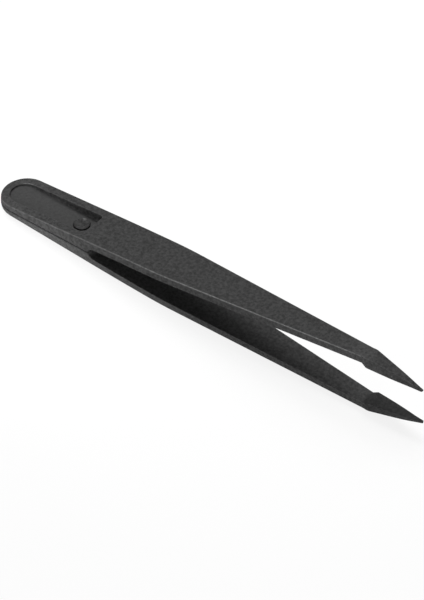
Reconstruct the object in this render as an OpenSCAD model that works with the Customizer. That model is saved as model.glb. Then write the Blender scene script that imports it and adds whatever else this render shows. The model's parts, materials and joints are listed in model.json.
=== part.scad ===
// Anti-static plastic tweezers for an electronics bench, lying flat on the lower arm.
// Two like mouldings meet face to face at the heel, where a staked pin joins them.
// The arms bend towards each other from the flex line, just in front of the slot's closed end.
// Shapes are built about the mid-plane between the arms: x runs from the heel end to the tips,
// z is the height above the mid-plane. lay_down() then sets the finished tool on its lower arm.

/* [Overall] */
// Length from the rounded heel end to the tip points
overall_length = 115; // [105:1:130]
// Number of facets on round shapes
round_facets = 96; // [48:8:160]

/* [Heel] */
// Width of the outer face along the heel and the first part of the arms
heel_width = 10.7; // [9:0.1:12]
// Height of the outer face above the mid-plane at the heel end
heel_end_height = 0.98; // [0.9:0.02:1.4]
// Slope of the outer face along the heel, in degrees
heel_slope = 4.45; // [4.2:0.05:5]
// Distance from the heel end to the closed end of the slot between the arms
slot_start = 27.1; // [25.5:0.1:28]
// Draft of the moulded sides, in degrees: the sides widen towards the mid-plane
side_draft = 4.7; // [1:0.1:6]

/* [Recess] */
// Rim left between the heel end and the recess in the outer face
recess_rim = 1.85; // [1.4:0.05:2.6]
// Width of the recess
recess_width = 6.6; // [5.4:0.1:7.2]
// Distance from the heel end to the square front end of the recess
recess_end = 24.5; // [23.8:0.1:24.8]
// Height of the recess floor above the mid-plane at its rounded rear end
recess_floor = 0.67; // [0.5:0.01:0.7]
// Slope of the recess floor, in degrees
recess_slope = 0.8; // [0.4:0.1:1.2]

/* [Joining pin] */
// Distance from the heel end to the pin's axis
pin_x = 21.05; // [19:0.05:21.6]
// Diameter of the pin's shank
pin_shank_d = 2.2; // [1.6:0.1:2.8]
// Diameter of the pin's button heads
pin_head_d = 3.7; // [3:0.1:4.2]
// Height of the pin's heads above the seats in the recess floors
pin_head_h = 0.35; // [0.25:0.05:0.5]
// Width of the bevelled edge round the pin's heads
pin_head_edge = 0.1; // [0.05:0.05:0.2]

/* [Locating pegs] */
// Distance from the heel end to the pegs that keep the halves in line
peg_x = 9; // [7:0.5:14]
// Distance of each peg from the centre line
peg_y = 4.2; // [4.1:0.05:4.3]
// Diameter of a peg
peg_d = 1; // [0.8:0.1:1.1]
// Length of a peg
peg_length = 0.6; // [0.4:0.1:0.7]

/* [Arms] */
// Thickness of the arms, measured square to the mid-plane
arm_thickness = 1.8; // [1.6:0.05:2]
// Slope of the outer face along the arms, in degrees
arm_slope = 3.5; // [3.2:0.05:3.8]
// Distance from the heel end to the flex line, where the outer face changes slope
flex_x = 34; // [33:0.5:36]
// Distance from the heel end to where the arms begin to narrow
taper_start = 46.4; // [42:0.2:52]
// Width of the outer face at the shoulders of the tip
neck_width = 3.65; // [3:0.05:3.8]

/* [Tips] */
// Length of the gripping pad, from its shoulders to the tip point
pad_length = 13.85; // [12:0.05:16]
// Height of the step from the arm's inner face to the gripping pad
pad_step = 0.7; // [0.4:0.05:1]
// Length of the ramp that makes the step
ramp_length = 1.3; // [1:0.05:2.5]
// Distance from the tip point to where the outer face bends inwards
bend_length = 13.5; // [12.5:0.05:14.5]
// Gap between the open tip points
tip_gap = 9.1; // [8:0.1:10]
// Thickness of the tip point
tip_end_thickness = 0.45; // [0.25:0.05:0.8]
// Width of the outer face at the barbs, where it bends inwards
bend_width = 3.68; // [3.4:0.02:4]
// Width of the outer face at the tip point
tip_end_width = 0.3; // [0.2:0.02:0.6]
// Draft of the tip's sides, in degrees: they widen towards the gripping pad
tip_draft = 13; // [8:1:16]

/* [Flex line] */
// Radius of the round tongue that each arm turns on
tongue_r = 0.55; // [0.4:0.01:0.6]
// Clearance round the tongue
tongue_clearance = 0.03; // [0.02:0.01:0.05]
// Gap between the heel and the arm along the flex line
flex_gap = 0.12; // [0.12:0.01:0.2]

/* [Hidden] */
$fn = round_facets;
moulding_colour = [0.25, 0.25, 0.26];
pin_colour = [0.2, 0.2, 0.21];

// Generous size of the blocks that trim the sides
trim = 12;
heel_half_width = heel_width / 2;
shoulder_x = overall_length - pad_length;
ramp_x = shoulder_x - ramp_length;
bend_x = overall_length - bend_length;
// The barbs behind the shoulders start halfway up the ramp
barb_x = shoulder_x - ramp_length / 2;
pin_hole_clearance = 0.02;
seat_clearance = 0.05;
socket_clearance = 0.02;
socket_extra_depth = 0.1;

// Height of the outer face above the mid-plane at distance x from the heel end
flex_height = heel_end_height + flex_x * tan(heel_slope);
function outer_z(x) = x < flex_x
    ? heel_end_height + x * tan(heel_slope)
    : flex_height + (x - flex_x) * tan(arm_slope);
function inner_z(x) = outer_z(x) - arm_thickness;

// The pin's heads sit on flat seats, level with the recess floor at their rear
seat_r = pin_head_d / 2 + seat_clearance;
seat_z = recess_floor + (pin_x - seat_r - recess_rim) * tan(recess_slope);

flex_z = flex_height - arm_thickness / 2;
pad_z = inner_z(shoulder_x) - pad_step;
tip_inner_z = tip_gap / 2;
tip_outer_z = tip_inner_z + tip_end_thickness;
bend_z = outer_z(bend_x);
tip_slope = atan((bend_z - tip_outer_z) / bend_length);

// Round end of the slot, tangent to both inner faces: its radius r solves
// (slot_start + r) sin(slope) - inner_drop cos(slope) = r
inner_drop = arm_thickness - heel_end_height;
slot_r = (slot_start * sin(heel_slope) - inner_drop * cos(heel_slope)) / (1 - sin(heel_slope));
slot_x = slot_start + slot_r;
slot_tangent_x = slot_x - slot_r * sin(heel_slope);

// Narrowing of the arms and of the tips, seen on their outer faces
arm_taper = atan((heel_width - neck_width) / 2 / (shoulder_x - taper_start) * cos(arm_slope));
tip_taper = atan((bend_width - tip_end_width) / 2 / bend_length * cos(tip_slope));

// Height of the resting lower arm, and the middle of the resting tool's length
lift = (flex_height - flex_x * tan(arm_slope)) * cos(arm_slope);
reach_front = overall_length * cos(arm_slope) + tip_outer_z * sin(arm_slope);
reach_back = -heel_end_height * sin(arm_slope);
middle_x = (reach_front + reach_back) / 2;

// Sets the tool down with the front of the lower arm's outer face flat on z = 0
module lay_down() {
    translate([-middle_x, 0, lift])
        rotate([0, -arm_slope, 0])
            children();
}

// The lower moulding is the upper one turned over
module turned_over() {
    rotate([180, 0, 0])
        children();
}

module both_sides() {
    children();
    mirror([0, 1, 0])
        children();
}

// Side view given as [x, z] points, as deep as the tool is wide and more
module side_view(points) {
    rotate([90, 0, 0])
        linear_extrude(height = 2 * trim, center = true)
            polygon(points);
}

// Moves to a point of an outer face and turns along its slope
module on_face(x, z, slope) {
    translate([x, 0, z])
        rotate([0, -slope, 0])
            children();
}

// Block beyond one side face: its near wall starts on the outer face at half_width,
// turns inwards by taper and widens by draft below the face. It reaches length ahead and back behind
module side_trim(half_width, taper, draft, length, back) {
    translate([0, half_width, 0])
        rotate([0, 0, -taper])
            rotate([draft, 0, 0])
                translate([-back, 0, -trim])
                    cube([length + back, trim, 2 * trim]);
}

// Plan shape of the heel: a drafted round end, carried on as a drafted bar
module heel_plan() {
    above = 1;
    top_half = heel_half_width - above * tan(side_draft);
    bottom_half = heel_half_width + trim * tan(side_draft);
    on_face(0, heel_end_height, heel_slope)
        translate([heel_half_width, 0, 0]) {
            translate([0, 0, -trim])
                cylinder(h = trim + above, r1 = bottom_half, r2 = top_half);
            rotate([90, 0, 90])
                linear_extrude(height = flex_x)
                    polygon([
                        [-bottom_half, -trim],
                        [bottom_half, -trim],
                        [top_half, above],
                        [-top_half, above]
                    ]);
        }
}

// Recess in the outer face with a sloping floor, and a flat seat for the pin's head
module recess() {
    recess_r = recess_width / 2;
    on_face(recess_rim, recess_floor, recess_slope)
        translate([recess_r, 0, 0]) {
            cylinder(h = trim, r = recess_r);
            translate([0, -recess_r, 0])
                cube([recess_end - recess_rim - recess_r, recess_width, trim]);
        }
    translate([pin_x, 0, seat_z])
        cylinder(h = trim, r = seat_r);
}

// Round groove or tongue along the flex line
module flex_round(r, length) {
    translate([flex_x, 0, flex_z])
        rotate([90, 0, 0])
            cylinder(h = length, r = r, center = true);
}

module heel_half() {
    back = 1;
    end_x = flex_x - flex_gap / 2;
    difference() {
        intersection() {
            side_view([
                [-back, 0],
                [-back, outer_z(-back)],
                [end_x, outer_z(end_x)],
                [end_x, inner_z(end_x)],
                [slot_tangent_x, inner_z(slot_tangent_x)],
                [slot_tangent_x, 0]
            ]);
            heel_plan();
        }
        translate([slot_x, 0, 0])
            rotate([90, 0, 0])
                cylinder(h = 2 * trim, r = slot_r, center = true);
        recess();
        translate([pin_x, 0, -trim])
            cylinder(h = 2 * trim, d = pin_shank_d + 2 * pin_hole_clearance);
        translate([peg_x, -peg_y, -trim])
            cylinder(h = trim + peg_length + socket_extra_depth, d = peg_d + 2 * socket_clearance);
        flex_round(tongue_r + tongue_clearance, 2 * trim);
    }
    translate([peg_x, peg_y, -peg_length])
        cylinder(h = peg_length, d = peg_d);
}

module arm() {
    start_x = flex_x + flex_gap / 2;
    tip_trim_back = bend_x - ramp_x + ramp_length;
    difference() {
        side_view([
            [start_x, outer_z(start_x)],
            [bend_x, bend_z],
            [overall_length, tip_outer_z],
            [overall_length, tip_inner_z],
            [shoulder_x, pad_z],
            [ramp_x, inner_z(ramp_x)],
            [start_x, inner_z(start_x)]
        ]);
        on_face(flex_x, flex_height, arm_slope)
            both_sides()
                side_trim(heel_half_width, 0, side_draft, overall_length, flex_x);
        on_face(taper_start, outer_z(taper_start), arm_slope)
            both_sides()
                side_trim(heel_half_width, arm_taper, side_draft, barb_x - taper_start, trim);
        on_face(bend_x, bend_z, -tip_slope)
            both_sides()
                side_trim(bend_width / 2, tip_taper, tip_draft, 2 * bend_length, tip_trim_back);
    }
    flex_round(tongue_r, heel_width);
}

// Staked pin through both halves of the heel, with a button head in each recess
module pin() {
    rim_h = pin_head_h - pin_head_edge;
    cylinder(h = 2 * seat_z, d = pin_shank_d, center = true);
    for (side = [0, 1])
        mirror([0, 0, side])
            translate([0, 0, seat_z]) {
                cylinder(h = rim_h, d = pin_head_d);
                translate([0, 0, rim_h])
                    cylinder(h = pin_head_edge, d1 = pin_head_d, d2 = pin_head_d - 2 * pin_head_edge);
            }
}

module upper_heel() {
    color(moulding_colour)
        lay_down()
            heel_half();
}

module lower_heel() {
    color(moulding_colour)
        lay_down()
            turned_over()
                heel_half();
}

module joining_pin() {
    color(pin_colour)
        lay_down()
            translate([pin_x, 0, 0])
                pin();
}

module upper_arm() {
    color(moulding_colour)
        lay_down()
            arm();
}

module lower_arm() {
    color(moulding_colour)
        lay_down()
            turned_over()
                arm();
}

upper_heel();
lower_heel();
joining_pin();
upper_arm();
lower_arm();
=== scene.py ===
import json
import math
from collections import namedtuple

import bmesh
import bpy
from mathutils import Matrix, Vector


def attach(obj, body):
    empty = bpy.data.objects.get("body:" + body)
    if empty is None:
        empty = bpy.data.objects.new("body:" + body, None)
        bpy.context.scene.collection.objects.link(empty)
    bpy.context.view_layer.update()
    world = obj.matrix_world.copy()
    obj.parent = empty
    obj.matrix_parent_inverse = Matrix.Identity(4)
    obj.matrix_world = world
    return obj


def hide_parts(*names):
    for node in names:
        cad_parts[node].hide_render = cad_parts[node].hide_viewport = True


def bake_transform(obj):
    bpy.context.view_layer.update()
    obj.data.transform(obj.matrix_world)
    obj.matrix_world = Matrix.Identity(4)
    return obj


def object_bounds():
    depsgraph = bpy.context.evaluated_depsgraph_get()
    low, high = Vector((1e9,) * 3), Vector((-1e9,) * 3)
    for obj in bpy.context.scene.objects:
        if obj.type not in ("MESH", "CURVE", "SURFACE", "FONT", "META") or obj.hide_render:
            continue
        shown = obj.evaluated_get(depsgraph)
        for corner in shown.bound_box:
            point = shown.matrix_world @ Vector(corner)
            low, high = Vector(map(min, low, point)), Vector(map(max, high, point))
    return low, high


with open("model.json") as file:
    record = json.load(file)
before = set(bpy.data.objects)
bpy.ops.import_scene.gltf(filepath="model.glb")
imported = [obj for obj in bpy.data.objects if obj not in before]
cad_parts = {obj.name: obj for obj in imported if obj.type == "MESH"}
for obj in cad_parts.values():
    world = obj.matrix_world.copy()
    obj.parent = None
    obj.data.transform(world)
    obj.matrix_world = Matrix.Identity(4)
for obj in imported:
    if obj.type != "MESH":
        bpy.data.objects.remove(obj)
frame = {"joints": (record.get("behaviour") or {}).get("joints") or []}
cad_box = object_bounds()

# Sizes of the tool in millimetres, in its own frame: x runs from the heel end to the tips along
# the mid-plane between the arms, and z is the height above the mid-plane. Slopes are tangents
MM = 0.001
OVERALL_LENGTH = 115.0
HEEL_HALF_WIDTH = 5.35
HEEL_END_HEIGHT = 0.98
HEEL_SLOPE = math.tan(math.radians(4.45))
SLOT_START = 27.1
SIDE_DRAFT = math.tan(math.radians(4.7))
RECESS_RIM = 1.85
RECESS_HALF_WIDTH = 3.3
RECESS_END = 24.5
RECESS_FLOOR = 0.67
RECESS_SLOPE = math.tan(math.radians(0.8))
PIN_X = 21.05
PIN_SHANK_RADIUS = 1.1
PIN_HEAD_RADIUS = 1.85
PIN_HEAD_HEIGHT = 0.35
PIN_HOLE_CLEARANCE = 0.02
SEAT_RADIUS = 1.9
PEG_X = 9.0
PEG_Y = 4.2
PEG_RADIUS = 0.5
PEG_LENGTH = 0.6
SOCKET_RADIUS = 0.52
SOCKET_DEPTH = 0.7
ARM_THICKNESS = 1.8
ARM_SLOPE = math.tan(math.radians(3.5))
FLEX_X = 34.0
TAPER_START = 46.4
NECK_HALF_WIDTH = 1.825
BARB_LENGTH = 14.35
BARB_RUN = 0.35
BARB_HALF_WIDTH = 1.94
PAD_LENGTH = 13.85
PAD_STEP = 0.7
PAD_HALF_WIDTH = 2.31
PAD_MIDDLE_X = 107.5
PAD_MIDDLE_HALF_WIDTH = 1.62
PAD_END_HALF_WIDTH = 0.455
RAMP_LENGTH = 1.3
TIP_LENGTH = 13.5
TIP_CURVE_X = 110.0
TIP_CURVE_HEIGHT = 6.2
TIP_CURVE_HALF_WIDTH = 0.79
TIP_HALF_GAP = 4.55
TIP_END_THICKNESS = 0.33
TIP_END_HALF_WIDTH = 0.13

# Roundings and other small forms. A share limits a radius to a part of the room there is for it.
# The rings on the crown of the pin's head are at shares of its radius and of the crown's drop
OUTER_EDGE_RADIUS = 0.24
INNER_EDGE_RADIUS = 0.14
SEAM_EDGE_RADIUS = 0.36
EDGE_ROOM_SHARE = 0.3
RECESS_RIM_RADIUS = 0.16
RECESS_FLOOR_RADIUS = 0.45
RECESS_DEPTH_SHARE = 0.4
RECESS_CORNER_RADIUS = 0.5
PIN_HEAD_EDGE = 0.14
PIN_HEAD_CROWN = 0.03
CROWN_RINGS = [(0.3, 0.0), (0.6, 1 / 3)]
HEAD_GROOVE_WIDTH = 0.12
HEAD_GROOVE_DEPTH = 0.1
HEAD_GROOVE_LEAN = 0.04
BURR_X = PIN_X - 0.35
BURR_Y = 1.55
BURR_RADIUS = 0.5
BURR_HEIGHT = 0.12
TIP_POINT_LENGTH = 0.35

# Fineness of the meshes: segments of roundings and circles, and spacing along the outline, which is
# finest over the ramp and barb and FINE_MARGIN to each side of them. The face round the recess ends
# FACE_MARGIN in front of it
EDGE_SEGMENTS = 5
HOLE_SEGMENTS = 32
PIN_SEGMENTS = 64
LONG_STEP = 1.6
TIP_STEP = 1.0
FINE_STEP = 0.1
FINE_MARGIN = 1.0
FACE_MARGIN = 1.0

# Places along the tip, from the arm to the point
BARB_X = OVERALL_LENGTH - BARB_LENGTH
NECK_X = BARB_X - BARB_RUN
SHOULDER_X = OVERALL_LENGTH - PAD_LENGTH
RAMP_X = SHOULDER_X - RAMP_LENGTH
TIP_X = OVERALL_LENGTH - TIP_LENGTH


def ramp(distance, softness):
    """Zero before a corner and the distance past it, with the corner rounded over softness each side."""
    if distance <= -softness:
        return 0.0
    if distance >= softness:
        return distance
    return (distance + softness) ** 2 / (4 * softness)


def soft_line(x, points, softness):
    """Height at x of a line through the points, with each inner corner rounded by its softness."""
    (x0, v0), (x1, v1) = points[:2]
    slope = (v1 - v0) / (x1 - x0)
    value = v0 + slope * (x - x0)
    for (xa, va), (xb, vb), soft in zip(points[1:], points[2:], softness):
        turn = (vb - va) / (xb - xa) - slope
        value += turn * ramp(x - xa, soft)
        slope += turn
    return value


FLEX_HEIGHT = HEEL_END_HEIGHT + FLEX_X * HEEL_SLOPE


def arm_line(x):
    """Height of the outer face along the arm, carried on past the tip's bend."""
    return FLEX_HEIGHT + (x - FLEX_X) * ARM_SLOPE


def recess_floor(x):
    return RECESS_FLOOR + (x - RECESS_RIM) * RECESS_SLOPE


SEAT_Z = recess_floor(PIN_X - SEAT_RADIUS)
PAD_Z = arm_line(SHOULDER_X) - ARM_THICKNESS - PAD_STEP
NECK_SLOPE = (NECK_HALF_WIDTH - HEEL_HALF_WIDTH) / (SHOULDER_X - TAPER_START)
OUTER_PROFILE = [
    (0, HEEL_END_HEIGHT),
    (FLEX_X, FLEX_HEIGHT),
    (TIP_X, arm_line(TIP_X)),
    (TIP_CURVE_X, TIP_CURVE_HEIGHT),
    (OVERALL_LENGTH, TIP_HALF_GAP + TIP_END_THICKNESS),
]
OUTER_SOFTNESS = [5.0, 0.2, 2.0]
INNER_PROFILE = [
    (0, HEEL_END_HEIGHT - ARM_THICKNESS),
    (FLEX_X, FLEX_HEIGHT - ARM_THICKNESS),
    (RAMP_X, arm_line(RAMP_X) - ARM_THICKNESS),
    (SHOULDER_X, PAD_Z),
    (OVERALL_LENGTH, TIP_HALF_GAP),
]
INNER_SOFTNESS = [5.0, 0.15, 0.2]
WIDTH_PROFILE = [
    (0, HEEL_HALF_WIDTH),
    (TAPER_START, HEEL_HALF_WIDTH),
    (NECK_X, HEEL_HALF_WIDTH + (NECK_X - TAPER_START) * NECK_SLOPE),
    (BARB_X, BARB_HALF_WIDTH),
    (TIP_CURVE_X, TIP_CURVE_HALF_WIDTH),
    (OVERALL_LENGTH, TIP_END_HALF_WIDTH),
]
WIDTH_SOFTNESS = [4.0, 0.1, 0.12, 2.0]


def outer_z(x):
    return soft_line(x, OUTER_PROFILE, OUTER_SOFTNESS)


def inner_z(x):
    return soft_line(x, INNER_PROFILE, INNER_SOFTNESS)


def outer_half(x):
    return soft_line(x, WIDTH_PROFILE, WIDTH_SOFTNESS)


def wall_half(x, z):
    """Half-width of the drafted side wall of the heel and arm at height z."""
    return outer_half(x) + (outer_z(x) - z) * SIDE_DRAFT


PAD_WIDTH_PROFILE = [
    (RAMP_X, wall_half(RAMP_X, inner_z(RAMP_X))),
    (SHOULDER_X, PAD_HALF_WIDTH),
    (PAD_MIDDLE_X, PAD_MIDDLE_HALF_WIDTH),
    (OVERALL_LENGTH, PAD_END_HALF_WIDTH),
]
PAD_WIDTH_SOFTNESS = [0.2, 2.0]


def inner_half(x, z):
    """Half-width at the lower edge of the side wall, which is at height z."""
    if x > RAMP_X:
        return soft_line(x, PAD_WIDTH_PROFILE, PAD_WIDTH_SOFTNESS)
    return wall_half(x, z)


# Round closed end of the slot between the arms, tangent to both inner faces
HEEL_ANGLE = math.atan(HEEL_SLOPE)
SLOT_RADIUS = (
    SLOT_START * math.sin(HEEL_ANGLE) - (ARM_THICKNESS - HEEL_END_HEIGHT) * math.cos(HEEL_ANGLE)
) / (1 - math.sin(HEEL_ANGLE))
SLOT_X = SLOT_START + SLOT_RADIUS


def flex_point(joint_name):
    joint = next(j for j in frame["joints"] if j["name"] == joint_name)
    return Vector(joint["pos_m"])


# The tool's frame, from the two flex lines, which lie one above the other across the mid-plane
UPPER_FLEX = flex_point("upper_flex")
LOWER_FLEX = flex_point("lower_flex")
TOOL_Z = (UPPER_FLEX - LOWER_FLEX).normalized()
TOOL_Y = Vector((0, 1, 0))
TOOL_X = TOOL_Y.cross(TOOL_Z)
HEEL_POINT = (UPPER_FLEX + LOWER_FLEX) / 2 - TOOL_X * FLEX_X * MM


def place(x, y, z):
    """Point of the frame, in metres, at a point of the tool, in millimetres."""
    return HEEL_POINT + (TOOL_X * x + TOOL_Y * y + TOOL_Z * z) * MM


# One station of the moulding's outline, on its +y side. The outer and inner corners are plan points
# with outward plan normals. base is the inner face's x and z, and into points from it into the
# material. seam is 1 where the inner edge lies on the seam, and falls to 0 along the slot's round end
Station = namedtuple("Station", "outer outer_normal inner inner_normal base into seam")


def slope_normal(function, x):
    """Unit plan normal of a half-width, which is a function of x."""
    step = 0.01
    slope = (function(x + step) - function(x - step)) / (2 * step)
    return Vector((-slope, 1)).normalized()


def spread(start, end, step):
    """Even places from start up to, but not at, end."""
    count = max(1, round((end - start) / step))
    return [start + (end - start) * i / count for i in range(count)]


def heel_end_stations(count=18):
    """Round end of the heel, from its middle to the start of the straight sides."""
    centre = Vector((HEEL_HALF_WIDTH, 0))
    for i in range(count):
        angle = math.pi - math.pi / 2 * i / count
        normal = Vector((math.cos(angle), math.sin(angle)))
        outer = centre + normal * HEEL_HALF_WIDTH
        inner = centre + normal * (HEEL_HALF_WIDTH + outer_z(outer.x) * SIDE_DRAFT)
        yield Station(outer, normal, inner, normal, (inner.x, 0), Vector((0, 1)), 1)


def side_station(x, base, into, seam):
    outer = Vector((x, outer_half(x)))
    inner = Vector((base[0], inner_half(*base)))
    inner_normal = Vector((0, 1))
    if not seam:
        inner_normal = slope_normal(lambda place_x: inner_half(place_x, inner_z(place_x)), x)
    return Station(outer, slope_normal(outer_half, x), inner, inner_normal, base, into, seam)


def seam_stations():
    """Straight sides of the heel, where the two mouldings meet, up to the slot's closed end."""
    for x in spread(HEEL_HALF_WIDTH, SLOT_START, LONG_STEP):
        yield side_station(x, (x, 0), Vector((0, 1)), 1)
    yield side_station(SLOT_START, (SLOT_START, 0), Vector((-1, 1)), 1)


def slot_end_stations(count=12):
    """Quarter of the slot's round closed end, up to the inner face."""
    sweep = math.pi / 2 - HEEL_ANGLE
    for i in range(1, count):
        angle = sweep * i / count
        into = Vector((-math.cos(angle), math.sin(angle)))
        base = (SLOT_X + into.x * SLOT_RADIUS, into.y * SLOT_RADIUS)
        yield side_station(base[0], base, into, 1 - i / count)


def arm_stations():
    """Sides of the arm up to the tip's rounded point, closest together round the ramp and barb."""
    tangent_x = SLOT_X - SLOT_RADIUS * math.sin(HEEL_ANGLE)
    corners = [RAMP_X - FINE_MARGIN, RAMP_X, NECK_X, BARB_X, SHOULDER_X, SHOULDER_X + FINE_MARGIN]
    places = spread(tangent_x, corners[0], LONG_STEP)
    for start, end in zip(corners, corners[1:]):
        places += spread(start, end, FINE_STEP)
    places += spread(corners[-1], OVERALL_LENGTH - TIP_POINT_LENGTH, TIP_STEP)
    for x in places:
        yield side_station(x, (x, inner_z(x)), Vector((0, 1)), 0)


def tip_end_stations(count=6):
    """Rounded point of the tip, up to its middle."""
    start = OVERALL_LENGTH - TIP_POINT_LENGTH
    halves = outer_half(start), inner_half(start, inner_z(start))
    for i in range(count + 1):
        angle = math.pi / 2 * i / count
        along, across = math.sin(angle), math.cos(angle)
        x = start + TIP_POINT_LENGTH * along
        corners = [Vector((x, half * across)) for half in halves]
        normals = [Vector((half * along, TIP_POINT_LENGTH * across)).normalized() for half in halves]
        yield Station(corners[0], normals[0], corners[1], normals[1], (x, inner_z(x)), Vector((0, 1)), 0)


def outline_stations():
    return [
        *heel_end_stations(),
        *seam_stations(),
        *slot_end_stations(),
        *arm_stations(),
        *tip_end_stations(),
    ]


def wall_height(station):
    return outer_z(station.outer.x) - station.base[1]


def edge_radii(station):
    """Radii of the outer and inner edges, smaller where the tool is thin or narrow."""
    room = wall_height(station)
    if station.outer.x > SHOULDER_X:
        room = min(room, max(station.outer.y, TIP_END_HALF_WIDTH))
    largest = EDGE_ROOM_SHARE * room
    inner_radius = INNER_EDGE_RADIUS + (SEAM_EDGE_RADIUS - INNER_EDGE_RADIUS) * station.seam
    return min(OUTER_EDGE_RADIUS, largest), min(inner_radius, largest)


class PieceMesh:
    """Mesh of one piece, whose points carry weights for its material. turn is 1 for a piece as it
    lies in the tool's frame, and -1 for the lower moulding, which is the upper one turned over."""

    def __init__(self, turn):
        self.turn = turn
        self.bm = bmesh.new()
        self.position = self.bm.verts.layers.float_vector.new("tool_position")
        # Weights for the material: wear with painted light and highlights, darker gripping pads with the
        # lower tip's painted shade, painted shade, and painted light on the recess floor
        self.edge = self.bm.verts.layers.float.new("edge")
        self.pad = self.bm.verts.layers.float.new("pad")
        self.hollow = self.bm.verts.layers.float.new("hollow")
        self.smooth = self.bm.verts.layers.float.new("smooth")

    def vert(self, x, y, z, edge=0.0, pad=0.0, hollow=0.0, smooth=0.0):
        vert = self.bm.verts.new(place(x, self.turn * y, self.turn * z))
        vert[self.position] = Vector((x, self.turn * y, self.turn * z))
        vert[self.edge] = edge
        vert[self.pad] = pad
        vert[self.hollow] = hollow
        vert[self.smooth] = smooth
        return vert

    def circle(self, x, y, height, radius, count=HOLE_SEGMENTS, **weights):
        """Ring round a point, at a height that is a number or a function of x."""
        ring = []
        for i in range(count):
            angle = 2 * math.pi * i / count
            at_x = x + radius * math.cos(angle)
            z = height(at_x) if callable(height) else height
            ring.append(self.vert(at_x, y + radius * math.sin(angle), z, **weights))
        return ring

    def bridge(self, rings):
        """Bands of faces from each ring to the next."""
        for ring_a, ring_b in zip(rings, rings[1:]):
            for i in range(len(ring_a)):
                self.bm.faces.new((ring_a[i - 1], ring_a[i], ring_b[i], ring_b[i - 1]))

    def fill(self, *loops):
        """Fills a flat face bounded by the first loop, with the other loops as holes."""
        edges = []
        for loop in loops:
            for a, b in zip(loop, loop[1:] + loop[:1]):
                edges.append(self.bm.edges.get((a, b)) or self.bm.edges.new((a, b)))
        bmesh.ops.triangle_fill(self.bm, use_beauty=True, use_dissolve=False, edges=edges)

    def finish(self, name, material):
        sharp_angle = math.radians(50)
        bmesh.ops.recalc_face_normals(self.bm, faces=self.bm.faces)
        for face in self.bm.faces:
            face.smooth = True
        for edge in self.bm.edges:
            edge.smooth = edge.calc_face_angle(0.0) < sharp_angle
        mesh = bpy.data.meshes.new(name)
        self.bm.to_mesh(mesh)
        self.bm.free()
        mesh.materials.append(material)
        piece = bpy.data.objects.new(name, mesh)
        bpy.context.scene.collection.objects.link(piece)
        normals = piece.modifiers.new("weighted_normals", "WEIGHTED_NORMAL")
        normals.keep_sharp = True
        return piece


# Wear of the plastic along the tool, as weights at places in millimetres from the heel end. The
# outer edges are rubbed, and painted lighter as a highlight, most between the flex line and the tips
EDGE_WEAR_AND_HIGHLIGHT = [(0, 0.2), (30, 0.35), (58, 0.9), (95, 0.9), (101.5, 0.15), (OVERALL_LENGTH, 0.15)]
EDGE_WEAR_AND_HIGHLIGHT_SOFTNESS = [6.0, 6.0, 3.0, 3.0]
INNER_EDGE_WEAR = 0.15

# Painted light: the sides are painted lighter round the heel and, on the upper moulding, along the
# neck and at the tip, where more light falls on them
UPPER_SIDE_LIGHT = [
    (0, 0.05),
    (19, 0.05),
    (27, 0.0),
    (66, 0.0),
    (94, 0.12),
    (101, 0.12),
    (103, 0.04),
    (OVERALL_LENGTH, 0.04),
]
LOWER_SIDE_LIGHT = [
    (0, 0.1),
    (14, 0.18),
    (21, 0.18),
    (28, 0.1),
    (48, 0.1),
    (58, 0.0),
    (OVERALL_LENGTH, 0.0),
]
SIDE_LIGHT_SOFTNESS = 1.0

# Painted light: the outer faces are painted lighter at the heel end and the neck, and the inner faces at the
# neck
OUTER_FACE_LIGHT = [
    (0, 0.07),
    (7, 0.07),
    (13, 0.0),
    (92, 0.0),
    (99, 0.08),
    (101.3, 0.08),
    (102.5, 0.0),
    (OVERALL_LENGTH, 0.0),
]
INNER_FACE_LIGHT = [
    (0, 0.0),
    (92, 0.0),
    (98, 0.1),
    (RAMP_X - 0.2, 0.1),
    (RAMP_X, 0.0),
    (OVERALL_LENGTH, 0.0),
]
FACE_LIGHT_SOFTNESS = 0.1

# Painted highlight along the recess's rim, a little all round and most at one spot
RIM_HIGHLIGHT = 0.15
RIM_HIGHLIGHT_SPOT = Vector((3.8, 3.0))
RIM_HIGHLIGHT_LENGTH = 1.6

# Painted shade, darker where shade falls: the seam's groove, the sides of the lower tip, the side of
# the pin's head, and a painted shadow at the foot of the recess, for each millimetre of its depth past
# FOOT_SHADE_DEPTH
SEAM_SHADE = 0.6
UPPER_TIP_SHADE = 0.0
LOWER_TIP_SHADE = 0.9
HEAD_SHADE = 0.8
FOOT_SHADE = 0.6
FOOT_SHADE_DEPTH = 0.5
FOOT_SHADE_WIDTH = 1.15
FOOT_SHADE_CORNER = 0.2


def light_profile_at(x, profile, softness):
    """Weight at x of a painted light profile whose corners are all equally soft."""
    return soft_line(x, profile, [softness] * (len(profile) - 2))


def outer_point(station, offset, depth):
    """Point at an offset from a station's outer corner and a depth under the outer face."""
    plan = station.outer + station.outer_normal * offset
    return plan.x, plan.y, outer_z(plan.x) - depth


def inner_point(station, offset, height):
    """Point at an offset from a station's inner corner and a height off the inner face. At the slot's
    round end it never dips below the seam's rounding."""
    plan = station.inner + station.inner_normal * offset
    base_z = station.base[1] if station.seam else inner_z(plan.x)
    z = base_z + station.into.y * height
    if station.seam:
        z = max(z, height)
    return plan.x + station.into.x * height, plan.y, z


# Steps round a rounded edge, from 0 on its face to 1 on the side. FACE_ROW is a row further in on
# the face, at a share of the edge's radius. The gripping pad starts PAD_MARGIN past its ramp's foot
EDGE_STEPS = [i / EDGE_SEGMENTS for i in range(EDGE_SEGMENTS + 1)]
FACE_ROW = -1
FACE_ROW_SHARE = 0.6
PAD_MARGIN = 0.05


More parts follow.
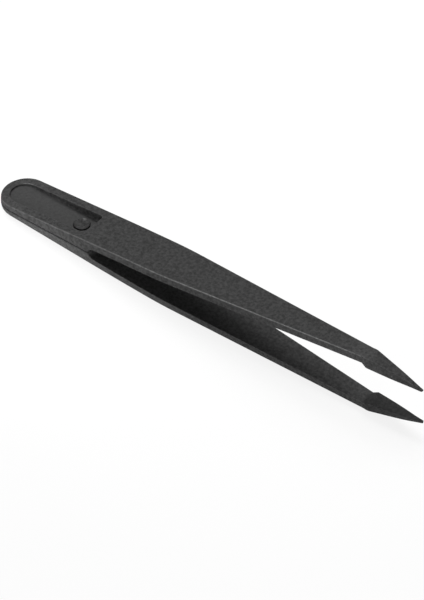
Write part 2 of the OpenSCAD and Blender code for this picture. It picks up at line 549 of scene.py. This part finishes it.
def wall_point(station, on_outer, step):
    """Point of the side wall at a step round its outer edge, or round its inner edge."""
    radius = edge_radii(station)[0 if on_outer else 1]
    lean = math.atan2((station.inner - station.outer).length, wall_height(station))
    turn = math.pi / 2 - lean if on_outer else math.pi / 2 + lean
    tangent = radius * math.tan(turn / 2)
    point = outer_point if on_outer else inner_point
    if step == FACE_ROW:
        return point(station, -tangent - FACE_ROW_SHARE * radius, 0)
    offset = -tangent + radius * math.sin(turn * step)
    return point(station, offset, radius * (1 - math.cos(turn * step)))


def wall_weights(x, seam, on_outer, step, side_light, tip_shade):
    """Weights of wear and painted light, pad and painted tip shade, and painted shade at a point of the side
    wall.
    """
    on_side = max(step, 0)
    on_edge = math.sin(math.pi * on_side)
    face_light = OUTER_FACE_LIGHT if on_outer else INNER_FACE_LIGHT
    # Painted light on the sides and faces; on the outer edges, wear with a painted highlight
    wear_and_light = on_side * light_profile_at(x, side_light, SIDE_LIGHT_SOFTNESS)
    wear_and_light += (1 - on_side) * light_profile_at(x, face_light, FACE_LIGHT_SOFTNESS)
    # Painted shade on the lower tip's sides, carried with the gripping pad's weight
    pad = tip_shade * on_side * min(1.0, max(0.0, x - RAMP_X))
    if on_outer:
        return wear_and_light + on_edge * soft_line(x, EDGE_WEAR_AND_HIGHLIGHT, EDGE_WEAR_AND_HIGHLIGHT_SOFTNESS), pad, 0.0
    if x > RAMP_X + PAD_MARGIN and step <= 0:
        pad = 1.0
    wear_and_light += on_edge * INNER_EDGE_WEAR * (1 - seam)
    # Painted shade in the seam's groove
    return wear_and_light, pad, SEAM_SHADE * seam * (1 - step * step)


def wall_rings(stations, side_light, tip_shade):
    """Rings of the outline from the outer face, round the outer edge, down the side and round the
    inner edge. Each point comes with its weights of wear and painted light, pad and painted tip shade, and
    painted shade."""
    rows = [(True, step) for step in [FACE_ROW] + EDGE_STEPS]
    rows += [(False, step) for step in EDGE_STEPS[::-1] + [FACE_ROW]]
    rings = []
    for on_outer, step in rows:
        ring = []
        for station in stations:
            x, y, z = wall_point(station, on_outer, step)
            weights = wall_weights(x, station.seam, on_outer, step, side_light, tip_shade)
            ring.append((x, y, z, *weights))
        rings.append(ring)
    return rings


def recess_outline(offset, corner=RECESS_CORNER_RADIUS, rear_count=32, corner_count=6):
    """Plan points of the recess, widened by offset: a round rear end, straight sides and a square
    front with rounded corners."""
    radius = RECESS_HALF_WIDTH
    rear = Vector((RECESS_RIM + radius, 0))
    corner_centre = Vector((RECESS_END - corner, radius - corner))
    side_places = spread(rear.x, corner_centre.x, LONG_STEP)[1:]
    points = []
    for i in range(rear_count + 1):
        angle = math.pi / 2 + math.pi * i / rear_count
        points.append(rear + Vector((math.cos(angle), math.sin(angle))) * (radius + offset))
    points += [Vector((x, -radius - offset)) for x in side_places]
    for side in (-1, 1):
        arc = []
        for i in range(corner_count + 1):
            angle = math.pi / 2 * i / corner_count
            swing = Vector((math.sin(angle), math.cos(angle))) * (corner + offset)
            arc.append(Vector((corner_centre.x + swing.x, side * (corner_centre.y + swing.y))))
        points += arc if side < 0 else reversed(arc)
    points += [Vector((x, radius + offset)) for x in reversed(side_places)]
    return points


def recess_depth(x):
    return outer_z(x) - recess_floor(x)


def recess_point(plan, outward, at_rim, step):
    """Point of the recess's wall at a step round its rim, from the outer face, or round its foot."""
    angle = math.pi / 2 * step
    radius = RECESS_RIM_RADIUS if at_rim else RECESS_FLOOR_RADIUS
    radius = min(radius, RECESS_DEPTH_SHARE * recess_depth(plan.x))
    if at_rim:
        point = plan + outward * radius * (1 - math.sin(angle))
        return point.x, point.y, outer_z(point.x) - radius * (1 - math.cos(angle))
    point = plan - outward * radius * (1 - math.cos(angle))
    return point.x, point.y, recess_floor(point.x) + radius * (1 - math.sin(angle))


def recess_weights(plan, at_rim, step):
    """Weights at a point of the recess's wall: painted highlight and light, pad, painted shadow, and painted
    light on the floor.
    """
    if at_rim:
        # Painted highlight along the rim, brightest at one spot, and painted light on the face round it
        spot_highlight = max(0.0, 1 - (plan - RIM_HIGHLIGHT_SPOT).length / RIM_HIGHLIGHT_LENGTH)
        wear_and_light = (RIM_HIGHLIGHT + spot_highlight) * math.sin(math.pi * step)
        wear_and_light += (1 - step) * light_profile_at(plan.x, OUTER_FACE_LIGHT, FACE_LIGHT_SOFTNESS)
        return wear_and_light, 0.0, 0.0, 0.0
    on_floor = float(step == 1)
    # Painted shadow of the wall on the floor at its foot, deeper where the recess is deeper, and painted
    # light on the floor
    shade = FOOT_SHADE * max(0.0, recess_depth(plan.x) - FOOT_SHADE_DEPTH)
    return 0.0, 0.0, shade * on_floor, on_floor


def recess_rings():
    """Rings of the recess from the outer face, round the rim, down the wall and round the foot to
    the floor. Each point comes with its weights."""
    outline = list(zip(recess_outline(0), recess_outline(1)))
    rings = []
    for at_rim in (True, False):
        for step in EDGE_STEPS:
            ring = []
            for plan, wider in outline:
                point = recess_point(plan, wider - plan, at_rim, step)
                ring.append((*point, *recess_weights(plan, at_rim, step)))
            rings.append(ring)
    return rings


def add_walls(made, stations, side_light, tip_shade):
    """Side wall all round the moulding. Each ring runs along the +y side and back along the -y side."""
    rings = []
    for ring in wall_rings(stations, side_light, tip_shade):
        plus = [made.vert(*point) for point in ring]
        minus = [made.vert(x, -y, *rest) for x, y, *rest in ring[1:-1]]
        rings.append(plus + minus[::-1])
    made.bridge(rings)
    return rings


def add_strips(made, ring, first, last):
    """Faces across the moulding from station number first to the last one, at the point."""
    for i in range(first, last - 1):
        made.bm.faces.new((ring[i], ring[i + 1], ring[-i - 1], ring[-i]))
    made.bm.faces.new((ring[last - 1], ring[last], ring[1 - last]))


def heel_loop(ring, end):
    """The part of a ring round the heel, up to station number end on both sides."""
    return ring[: end + 1] + ring[len(ring) - end:]


def add_pin_seat(made):
    """Flat seat of the pin's head inside a fine groove, and the pin's hole down to the seam.
    Returns the groove's edge in the recess's floor and the hole's mouth in the seam face."""
    hole_radius = PIN_SHANK_RADIUS + PIN_HOLE_CLEARANCE
    groove_radius = PIN_HEAD_RADIUS + HEAD_GROOVE_WIDTH
    groove_z = SEAT_Z - HEAD_GROOVE_DEPTH
    rings = [
        # Painted light on the floor round the groove, and painted shade in the groove and on the head's seat
        made.circle(PIN_X, 0, recess_floor, groove_radius, smooth=1.0),
        made.circle(PIN_X, 0, groove_z, groove_radius - HEAD_GROOVE_LEAN, hollow=1.0),
        made.circle(PIN_X, 0, groove_z, PIN_HEAD_RADIUS, hollow=1.0),
        made.circle(PIN_X, 0, SEAT_Z, PIN_HEAD_RADIUS - HEAD_GROOVE_LEAN, hollow=1.0),
        made.circle(PIN_X, 0, SEAT_Z, hole_radius),
        made.circle(PIN_X, 0, 0, hole_radius),
    ]
    made.bridge(rings)
    return rings[0], rings[-1]


def add_recess(made):
    """Recess in the outer face. Returns its rim and the pin hole's mouth in the seam face."""
    rings = [[made.vert(*point) for point in ring] for ring in recess_rings()]
    made.bridge(rings)
    # Ring on the floor where the painted shadow at the wall's foot has faded out; the floor is painted
    # lighter
    clear_outline = recess_outline(-FOOT_SHADE_WIDTH, FOOT_SHADE_WIDTH + FOOT_SHADE_CORNER)
    clear_floor = [made.vert(p.x, p.y, recess_floor(p.x), smooth=1.0) for p in clear_outline]
    groove_edge, hole_mouth = add_pin_seat(made)
    made.fill(rings[-1], clear_floor)
    made.fill(clear_floor, groove_edge)
    return rings[0], hole_mouth


def add_peg_and_socket(made):
    """Locating peg on one side of the seam face and socket on the other. Returns their mouths."""
    mouths = []
    for y, end_z, radius in ((PEG_Y, -PEG_LENGTH, PEG_RADIUS), (-PEG_Y, SOCKET_DEPTH, SOCKET_RADIUS)):
        rings = [made.circle(PEG_X, y, z, radius) for z in (0, end_z)]
        made.bridge(rings)
        made.bm.faces.new(rings[1])
        mouths.append(rings[0])
    return mouths


def build_moulding(name, turn, side_light, tip_shade, material):
    """One moulding: heel half, arm and arrowhead tip in one piece."""
    made = PieceMesh(turn)
    stations = outline_stations()
    last = len(stations) - 1
    face_end = next(i for i, s in enumerate(stations) if s.outer.x > RECESS_END + FACE_MARGIN)
    slot_end = next(i for i, s in enumerate(stations) if s.base[0] >= SLOT_START)
    rings = add_walls(made, stations, side_light, tip_shade)
    add_strips(made, rings[0], face_end, last)
    add_strips(made, rings[-1], slot_end, last)
    rim, hole_mouth = add_recess(made)
    made.fill(heel_loop(rings[0], face_end), rim)
    made.fill(heel_loop(rings[-1], slot_end), hole_mouth, *add_peg_and_socket(made))
    return made.finish(name, material)


def pin_profile():
    """Radius, height and painted shade of the pin's rings, from the middle of one head to that of the other.
    """
    top = SEAT_Z + PIN_HEAD_HEIGHT
    half = [(PIN_HEAD_RADIUS * share, top - PIN_HEAD_CROWN * drop, 0.0) for share, drop in CROWN_RINGS]
    for step in EDGE_STEPS:
        angle = math.pi / 2 * step
        radius = PIN_HEAD_RADIUS - PIN_HEAD_EDGE * (1 - math.sin(angle))
        half.append((radius, top - PIN_HEAD_CROWN - PIN_HEAD_EDGE * (1 - math.cos(angle)), step))
    half.append((PIN_HEAD_RADIUS, SEAT_Z, 1.0))
    half.append((PIN_SHANK_RADIUS, SEAT_Z, 1.0))
    return half + [(radius, -z, shade) for radius, z, shade in reversed(half)]


def raise_burr(made, rings):
    """Small raised burr near the edge of the pin's upper head, with a painted glint on it."""
    burr = place(BURR_X, BURR_Y, SEAT_Z + PIN_HEAD_HEIGHT)
    for ring in rings:
        for vert in ring:
            near = min(1.0, max(0.0, 2 - 2 * (vert.co - burr).length / (BURR_RADIUS * MM)))
            vert.co += TOOL_Z * BURR_HEIGHT * near * MM
            # Painted glint on the burr, with the painted shade taken off there
            vert[made.edge] = near
            vert[made.hollow] *= 1 - near


def build_pin(name, material):
    """Staked pin through the heel, with a rounded button head in each recess."""
    made = PieceMesh(1)
    rings = []
    for radius, z, shade in pin_profile():
        # Painted shade on the side of each head, round its foot
        rings.append(made.circle(PIN_X, 0, z, radius, PIN_SEGMENTS, hollow=HEAD_SHADE * shade))
    raise_burr(made, rings)
    made.bridge(rings)
    made.bm.faces.new(rings[0])
    made.bm.faces.new(rings[-1])
    return made.finish(name, material)


def add_node(tree, kind, inputs=None, **settings):
    node = tree.nodes.new(kind)
    for key, value in settings.items():
        setattr(node, key, value)
    for key, value in (inputs or {}).items():
        if isinstance(value, bpy.types.NodeSocket):
            tree.links.new(value, node.inputs[key])
        else:
            node.inputs[key].default_value = value
    return node


def grey(level):
    return (level, level, level, 1.0)


# Looks of the plastic. Noise scales are counts for each millimetre, and a range is the part of a
# noise that is spread out. A tone is a share of the dark grey, or of the light grey for the painted
# light on the recess floor, and a strength says how far a weight of 1 turns the plastic to it
SPECULAR_LEVEL = 0.06
MOTTLE_SCALE = 1.4
MOTTLE_DETAIL = 3.0
MOTTLE_FINENESS = 0.65
MOTTLE_RANGE = (0.36, 0.64)
ROUGHNESS_RANGE = (0.3, 0.7)
PATCH_SCALE = 2.2
PATCH_DETAIL = 2.0
PATCH_RANGE = (0.3, 0.6)
PATCH_LEAST = 0.35
BUMP_SCALE = 2.6
BUMP_DETAIL = 3.0
BUMP_STRENGTH = 0.6
BUMP_HEIGHT = 0.05
ROUGHNESS_SWING = 0.06
WEAR_AND_LIGHT_GREY = 0.16
RECESS_LIGHT_TONE = 1.05
RECESS_LIGHT_STRENGTH = 0.7
PAD_AND_TIP_SHADE_TONE = 0.3
PAD_AND_TIP_SHADE_STRENGTH = 0.58
PAINTED_SHADE_TONE = 0.1
PAINTED_SHADE_STRENGTH = 0.9


def moulded_plastic(name, dark, light, roughness):
    """Matte carbon-filled plastic: mottled moulded grain, rubbed edges with a painted highlight, painted
    light on sides, faces and the recess floor, darker gripping pads, and painted shade.
    """
    material = bpy.data.materials.new(name)
    material.use_nodes = True
    tree = material.node_tree
    shader = tree.nodes["Principled BSDF"]
    shader.inputs["Specular IOR Level"].default_value = SPECULAR_LEVEL

    def weight(attribute):
        return add_node(tree, "ShaderNodeAttribute", attribute_name=attribute).outputs["Fac"]

    def noise(scale, detail, fineness=0.6):
        inputs = {"Vector": position, "Scale": scale, "Detail": detail, "Roughness": fineness}
        return add_node(tree, "ShaderNodeTexNoise", inputs).outputs["Fac"]

    def spread_out(value, low, high, to_low=0.0, to_high=1.0):
        inputs = {"Value": value, "From Min": low, "From Max": high, "To Min": to_low, "To Max": to_high}
        return add_node(tree, "ShaderNodeMapRange", inputs).outputs["Result"]

    def times(a, b):
        return add_node(tree, "ShaderNodeMath", {0: a, 1: b}, operation="MULTIPLY").outputs["Value"]

    def mix(factor, a, b):
        inputs = {"Factor": factor, "A": a, "B": b}
        return add_node(tree, "ShaderNodeMix", inputs, data_type="RGBA").outputs["Result"]

    position = add_node(tree, "ShaderNodeAttribute", attribute_name="tool_position").outputs["Vector"]
    mottle = noise(MOTTLE_SCALE, MOTTLE_DETAIL, MOTTLE_FINENESS)
    # Patchy noise that breaks up the wear, the painted light and the painted highlights
    patches = spread_out(noise(PATCH_SCALE, PATCH_DETAIL), *PATCH_RANGE, PATCH_LEAST, 1.0)
    wear_and_light_weight = times(weight("edge"), patches)
    tone = mix(spread_out(mottle, *MOTTLE_RANGE), grey(dark), grey(light))
    # Painted light on the recess floor
    tone = mix(times(weight("smooth"), RECESS_LIGHT_STRENGTH), tone, grey(light * RECESS_LIGHT_TONE))
    # Wear together with painted light on sides and faces and painted highlights on edges, rim and burr
    tone = mix(wear_and_light_weight, tone, grey(WEAR_AND_LIGHT_GREY))
    # Darker gripping pads, and painted shade on the lower tip's sides
    tone = mix(times(weight("pad"), PAD_AND_TIP_SHADE_STRENGTH), tone, grey(dark * PAD_AND_TIP_SHADE_TONE))
    # Painted shade in the seam, the grooves, on the pin heads' sides and at the recess's foot
    tone = mix(times(weight("hollow"), PAINTED_SHADE_STRENGTH), tone, grey(dark * PAINTED_SHADE_TONE))
    tree.links.new(tone, shader.inputs["Base Color"])

    roughest, smoothest = roughness + ROUGHNESS_SWING, roughness - ROUGHNESS_SWING
    rough = spread_out(mottle, *ROUGHNESS_RANGE, roughest, smoothest)
    tree.links.new(rough, shader.inputs["Roughness"])
    grain = noise(BUMP_SCALE, BUMP_DETAIL)
    bump_inputs = {"Height": grain, "Strength": BUMP_STRENGTH, "Distance": BUMP_HEIGHT * MM}
    bump = add_node(tree, "ShaderNodeBump", bump_inputs)
    tree.links.new(bump.outputs["Normal"], shader.inputs["Normal"])
    return material


plastic = moulded_plastic("carbon_filled_plastic", dark=0.0165, light=0.0385, roughness=0.55)
pin_plastic = moulded_plastic("pin_plastic", dark=0.014, light=0.036, roughness=0.5)

# The arms bend over a length in front of the slot's closed end. The points at its ends are worked
# out for each moulding below, and nothing uses them
BEND_START = 28.0
BEND_END = 62.0
MOULDINGS = [
    ("upper", 1, UPPER_SIDE_LIGHT, UPPER_TIP_SHADE),
    ("lower", -1, LOWER_SIDE_LIGHT, LOWER_TIP_SHADE),
]
for name, turn, side_light, tip_shade in MOULDINGS:
    moulding = build_moulding(name + "_moulding", turn, side_light, tip_shade, plastic)
    bend_points = [place(x, 0, turn * outer_z(x)) for x in (BEND_START, BEND_END)]
    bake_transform(moulding)
    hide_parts(name + "_heel", name + "_arm")

pin = build_pin("staked_pin", pin_plastic)
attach(pin, "heel")
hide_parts("joining_pin")

# The floor, in metres, and how much of its white is shown plainly, with no shadow on it
FLOOR_HALF_SIZE = 3.0
FLOOR_DROP = 0.02 * MM
FLOOR_GREY = 0.9
FLOOR_WHITE_SHARE = 0.85
WORLD_LEVEL = 0.02


def white_to_view(tree, shader, share):
    """Mixes a shader with plain white for the rays that show it as a background."""
    path = add_node(tree, "ShaderNodeLightPath")
    seen = path.outputs["Is Camera Ray"]
    for ray in ("Is Glossy Ray", "Is Transmission Ray"):
        either = add_node(tree, "ShaderNodeMath", {0: seen, 1: path.outputs[ray]}, operation="MAXIMUM")
        seen = either.outputs["Value"]
    factor = add_node(tree, "ShaderNodeMath", {0: seen, 1: share}, operation="MULTIPLY").outputs["Value"]
    white = add_node(tree, "ShaderNodeEmission", {"Color": grey(1.0), "Strength": 1.0})
    mixed = add_node(tree, "ShaderNodeMixShader", {0: factor, 1: shader, 2: white.outputs["Emission"]})
    return mixed.outputs["Shader"]


def make_floor():
    """Plain pale floor under the tool, wide enough to fill the view."""
    bm = bmesh.new()
    bmesh.ops.create_grid(bm, x_segments=1, y_segments=1, size=FLOOR_HALF_SIZE)
    mesh = bpy.data.meshes.new("floor")
    bm.to_mesh(mesh)
    bm.free()
    floor = bpy.data.objects.new("floor", mesh)
    floor.location.z = cad_box[0].z - FLOOR_DROP
    bpy.context.scene.collection.objects.link(floor)
    material = bpy.data.materials.new("pale_floor")
    material.use_nodes = True
    tree = material.node_tree
    diffuse = add_node(tree, "ShaderNodeBsdfDiffuse", {"Color": grey(FLOOR_GREY)})
    surface = white_to_view(tree, diffuse.outputs["BSDF"], FLOOR_WHITE_SHARE)
    tree.links.new(surface, tree.nodes["Material Output"].inputs["Surface"])
    mesh.materials.append(material)


def make_world():
    """White surroundings that light the tool only faintly."""
    world = bpy.data.worlds.new("studio")
    bpy.context.scene.world = world
    world.use_nodes = True
    tree = world.node_tree
    sky = tree.nodes["Background"]
    sky.inputs["Color"].default_value = grey(1.0)
    sky.inputs["Strength"].default_value = WORLD_LEVEL
    surface = white_to_view(tree, sky.outputs["Background"], 1.0)
    tree.links.new(surface, tree.nodes["World Output"].inputs["Surface"])


def direction(azimuth, elevation):
    """Unit vector from the tool at angles in degrees: azimuth 0 is towards -y and 90 towards +x."""
    azimuth, elevation = math.radians(azimuth), math.radians(elevation)
    level = math.cos(elevation)
    return Vector((math.sin(azimuth) * level, -math.cos(azimuth) * level, math.sin(elevation)))


def add_softbox(name, target, azimuth, elevation, distance, size, power):
    """Square area lamp that faces a point of the tool and stays out of sight in the views."""
    data = bpy.data.lights.new(name, "AREA")
    data.shape = "SQUARE"
    data.size = size
    data.energy = power
    lamp = bpy.data.objects.new(name, data)
    towards = direction(azimuth, elevation)
    lamp.location = target + towards * distance
    lamp.rotation_euler = towards.to_track_quat("Z", "Y").to_euler()
    lamp.visible_camera = False
    bpy.context.scene.collection.objects.link(lamp)


def add_lamps():
    """Lamps round the tool, with angles in degrees, lengths in metres and power in watts."""
    middle = Vector((0, 0, 0))
    heel = place(14, 0, 0)
    tips = place(105, 0, 0)
    add_softbox("back_softbox", middle, azimuth=240, elevation=60, distance=0.7, size=0.45, power=3.8)
    add_softbox("side_softbox", middle, azimuth=259, elevation=38, distance=0.325, size=0.12, power=0.275)
    add_softbox("front_softbox", middle, azimuth=40, elevation=5, distance=0.5, size=0.08, power=2.2)
    add_softbox("heel_softbox", heel, azimuth=345, elevation=12, distance=0.05, size=0.018, power=0.024)
    add_softbox("tip_softbox", tips, azimuth=200, elevation=50, distance=0.2, size=0.12, power=0.2)


# Camera at the photograph's viewing angle. The photograph is 424 by 600 pixels, taken from far off:
# one millimetre across the view is PHOTO_SCALE pixels, and the heel end lies at HEEL_PIXEL
PHOTO_SIZE = (424, 600)
PHOTO_SCALE = 4.567
HEEL_PIXEL = (6.38, 188.26)
CAMERA_AZIMUTH = 35.9
CAMERA_ELEVATION = 45.11
CAMERA_ROLL = math.radians(2.99)
CAMERA_DISTANCE = 4.0


def make_camera():
    data = bpy.data.cameras.new("camera")
    camera = bpy.data.objects.new("camera", data)
    bpy.context.scene.collection.objects.link(camera)
    bpy.context.scene.camera = camera
    back = direction(CAMERA_AZIMUTH, CAMERA_ELEVATION)
    flat_right = direction(CAMERA_AZIMUTH + 90, 0)
    flat_up = back.cross(flat_right)
    right = flat_right * math.cos(CAMERA_ROLL) + flat_up * math.sin(CAMERA_ROLL)
    up = back.cross(right)
    across = (PHOTO_SIZE[0] / 2 - HEEL_PIXEL[0]) / PHOTO_SCALE * MM
    down = (PHOTO_SIZE[1] / 2 - HEEL_PIXEL[1]) / PHOTO_SCALE * MM
    target = HEEL_POINT + right * across - up * down
    camera.location = target + back * CAMERA_DISTANCE
    camera.rotation_euler = Matrix((right, up, back)).transposed().to_euler()
    data.lens = PHOTO_SCALE / MM * CAMERA_DISTANCE * data.sensor_width / max(PHOTO_SIZE)
    data.clip_end = 2 * CAMERA_DISTANCE


make_floor()
make_world()
add_lamps()
make_camera()
bpy.context.scene.view_settings.view_transform = "Standard"
